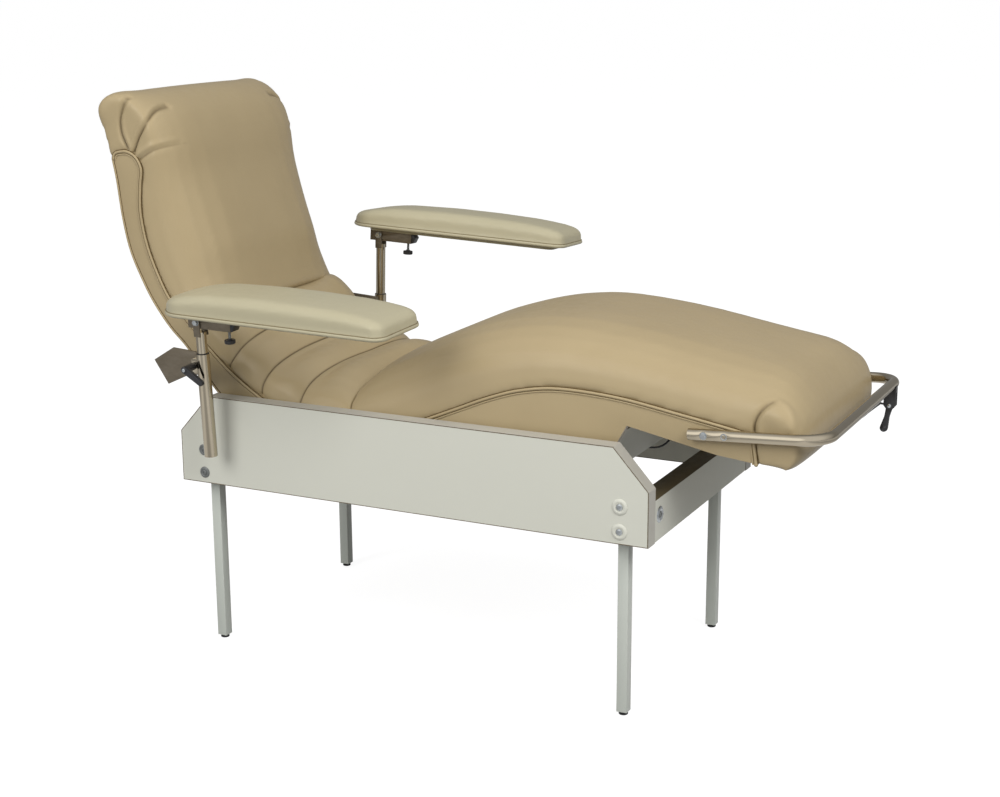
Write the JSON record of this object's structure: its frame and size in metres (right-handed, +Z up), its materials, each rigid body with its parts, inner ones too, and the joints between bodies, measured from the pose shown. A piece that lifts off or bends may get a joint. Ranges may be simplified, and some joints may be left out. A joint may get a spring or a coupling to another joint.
{
  "type": "blood donor bed",
  "caption": "Contoured vinyl donor lounge on a panelled frame with square tube legs; it tilts foot-up on a gas spring and carries adjustable arm rests.",
  "frame": {"origin": "floor under the middle of the bed's bounding box", "axes": "+X from head to foot, +Y to the donor's left, +Z up"},
  "size_m": [1.856, 1.0943, 1.363],
  "materials": {
    "vinyl": "satin tan upholstery vinyl",
    "arm_vinyl": "satin beige upholstery vinyl",
    "laminate": "grey laminate on board",
    "leg_paint": "grey paint",
    "chrome": "bright nickel plate",
    "zinc": "zinc plate",
    "bronze_steel": "bronzed steel",
    "black_plastic": "black moulding",
    "black_paint": "black enamel",
    "rubber": "black rubber",
    "plywood": "bare plywood"
  },
  "bodies": {
    "frame": {"head_cross_panel": "laminate", "foot_cross_panel": "laminate", "right_side_panel": "laminate", "left_side_panel": "laminate", "head_right_leg": "leg_paint", "head_left_leg": "leg_paint", "foot_right_leg": "leg_paint", "foot_left_leg": "leg_paint", "spring_cross_bar": "leg_paint", "right_stop_block": "rubber", "left_stop_block": "rubber", "right_pivot_bracket": "zinc", "left_pivot_bracket": "zinc"},
    "lounge": {"back_cushion": "vinyl", "seat_cushion": "vinyl", "leg_cushion": "vinyl", "right_side_board": "vinyl", "left_side_board": "vinyl", "back_panel": "vinyl", "leg_under_panel": "vinyl", "back_deck": "plywood", "seat_deck": "plywood", "leg_deck": "plywood", "seat_front_wall": "laminate", "lift_rail": "leg_paint", "foot_handle": "chrome", "lever_bracket": "black_plastic", "release_cable": "black_plastic", "arm_cross_tube": "bronze_steel", "right_arm_bracket": "bronze_steel", "left_arm_bracket": "bronze_steel", "right_arm_sleeve": "chrome", "left_arm_sleeve": "chrome"},
    "release_lever": {"release_lever": "black_plastic"},
    "gas_barrel": {"gas_spring_barrel": "black_paint"},
    "gas_rod": {"gas_spring_rod": "chrome"},
    "head_right_glide": {"head_right_glide": "black_plastic"},
    "head_left_glide": {"head_left_glide": "black_plastic"},
    "foot_right_glide": {"foot_right_glide": "black_plastic"},
    "foot_left_glide": {"foot_left_glide": "black_plastic"},
    "right_clamp": {"right_clamp_lever": "black_plastic"},
    "right_swivel": {"right_arm_bush": "black_plastic"},
    "right_post": {"right_arm_post": "chrome", "right_arm_bolt": "zinc"},
    "right_arm": {"right_arm_rail": "chrome", "right_rail_cap": "black_plastic", "right_arm_board": "arm_vinyl", "right_arm_pad": "arm_vinyl"},
    "right_screw": {"right_lock_screw": "black_plastic"},
    "left_clamp": {"left_clamp_lever": "black_plastic"},
    "left_swivel": {"left_arm_bush": "black_plastic"},
    "left_post": {"left_arm_post": "chrome", "left_arm_bolt": "zinc"},
    "left_arm": {"left_arm_rail": "chrome", "left_rail_cap": "black_plastic", "left_arm_board": "arm_vinyl", "left_arm_pad": "arm_vinyl"},
    "left_screw": {"left_lock_screw": "black_plastic"}
  },
  "joints": [
    {"name": "head_right_glide_thread", "type": "slide", "parent": "frame", "child": "head_right_glide", "axis": [0, 0, 1], "range_m": [-0.012, 0.0025]},
    {"name": "head_left_glide_thread", "type": "slide", "parent": "frame", "child": "head_left_glide", "axis": [0, 0, 1], "range_m": [-0.012, 0.0025]},
    {"name": "foot_right_glide_thread", "type": "slide", "parent": "frame", "child": "foot_right_glide", "axis": [0, 0, 1], "range_m": [-0.012, 0.0025]},
    {"name": "foot_left_glide_thread", "type": "slide", "parent": "frame", "child": "foot_left_glide", "axis": [0, 0, 1], "range_m": [-0.012, 0.0025]},
    {"name": "lounge_tilt", "type": "hinge", "parent": "frame", "child": "lounge", "pos_m": [-0.33935, 0, 0.565], "axis": [0, -1, 0], "range_deg": [0, 15]},
    {"name": "gas_barrel_swing", "type": "hinge", "parent": "frame", "child": "gas_barrel", "pos_m": [-0.33935, 0, 0.44], "axis": [0, -1, 0], "range_deg": [0, 12.6]},
    {"name": "gas_rod_stroke", "type": "slide", "parent": "gas_barrel", "child": "gas_rod", "axis": [0.9624, 0, 0.2717], "range_m": [0, 0.0305]},
    {"name": "release_lever_pull", "type": "hinge", "parent": "lounge", "child": "release_lever", "pos_m": [0.91465, 0.235, 0.651], "axis": [0, -1, 0], "range_deg": [0, 25], "stiffness_Nm_per_rad": 0.8, "springref_deg": -11.46},
    {"name": "right_clamp_turn", "type": "hinge", "parent": "lounge", "child": "right_clamp", "pos_m": [-0.58873, -0.41753, 0.73663], "axis": [0, -0.9984, -0.0558], "range_deg": [0, 100]},
    {"name": "right_arm_swing", "type": "hinge", "parent": "lounge", "child": "right_swivel", "pos_m": [-0.56535, -0.4043, 0.5], "axis": [0, -0.0558, 0.9984], "range_deg": [-70, 20]},
    {"name": "right_arm_height", "type": "slide", "parent": "right_swivel", "child": "right_post", "axis": [0, -0.0558, 0.9984], "range_m": [-0.04, 0.1]},
    {"name": "right_arm_tilt", "type": "hinge", "parent": "right_post", "child": "right_arm", "pos_m": [-0.56535, -0.4237, 0.84696], "axis": [-0.061, -0.9966, -0.0557], "range_deg": [-5, 20]},
    {"name": "right_screw_travel", "type": "slide", "parent": "right_arm", "child": "right_screw", "axis": [0, -0.0558, 0.9984], "range_m": [-0.008, 0.004]},
    {"name": "left_clamp_turn", "type": "hinge", "parent": "lounge", "child": "left_clamp", "pos_m": [-0.58873, 0.41753, 0.73663], "axis": [0, -0.9984, 0.0558], "range_deg": [0, 100]},
    {"name": "left_arm_swing", "type": "hinge", "parent": "lounge", "child": "left_swivel", "pos_m": [-0.56535, 0.4043, 0.5], "axis": [0, 0.0558, 0.9984], "range_deg": [-20, 70]},
    {"name": "left_arm_height", "type": "slide", "parent": "left_swivel", "child": "left_post", "axis": [0, 0.0558, 0.9984], "range_m": [-0.12, 0.02]},
    {"name": "left_arm_tilt", "type": "hinge", "parent": "left_post", "child": "left_arm", "pos_m": [-0.56535, 0.4285, 0.93282], "axis": [0.061, -0.9966, 0.0557], "range_deg": [-2.5, 22.5]},
    {"name": "left_screw_travel", "type": "slide", "parent": "left_arm", "child": "left_screw", "axis": [0.0435, 0.0584, 0.9973], "range_m": [-0.008, 0.004]}
  ],
  "couplings": [
    {"joint": "gas_barrel_swing", "follows": "lounge_tilt", "ratio": 0.83314},
    {"joint": "gas_rod_stroke", "follows": "lounge_tilt", "m_per_rad": 0.11557}
  ]
}
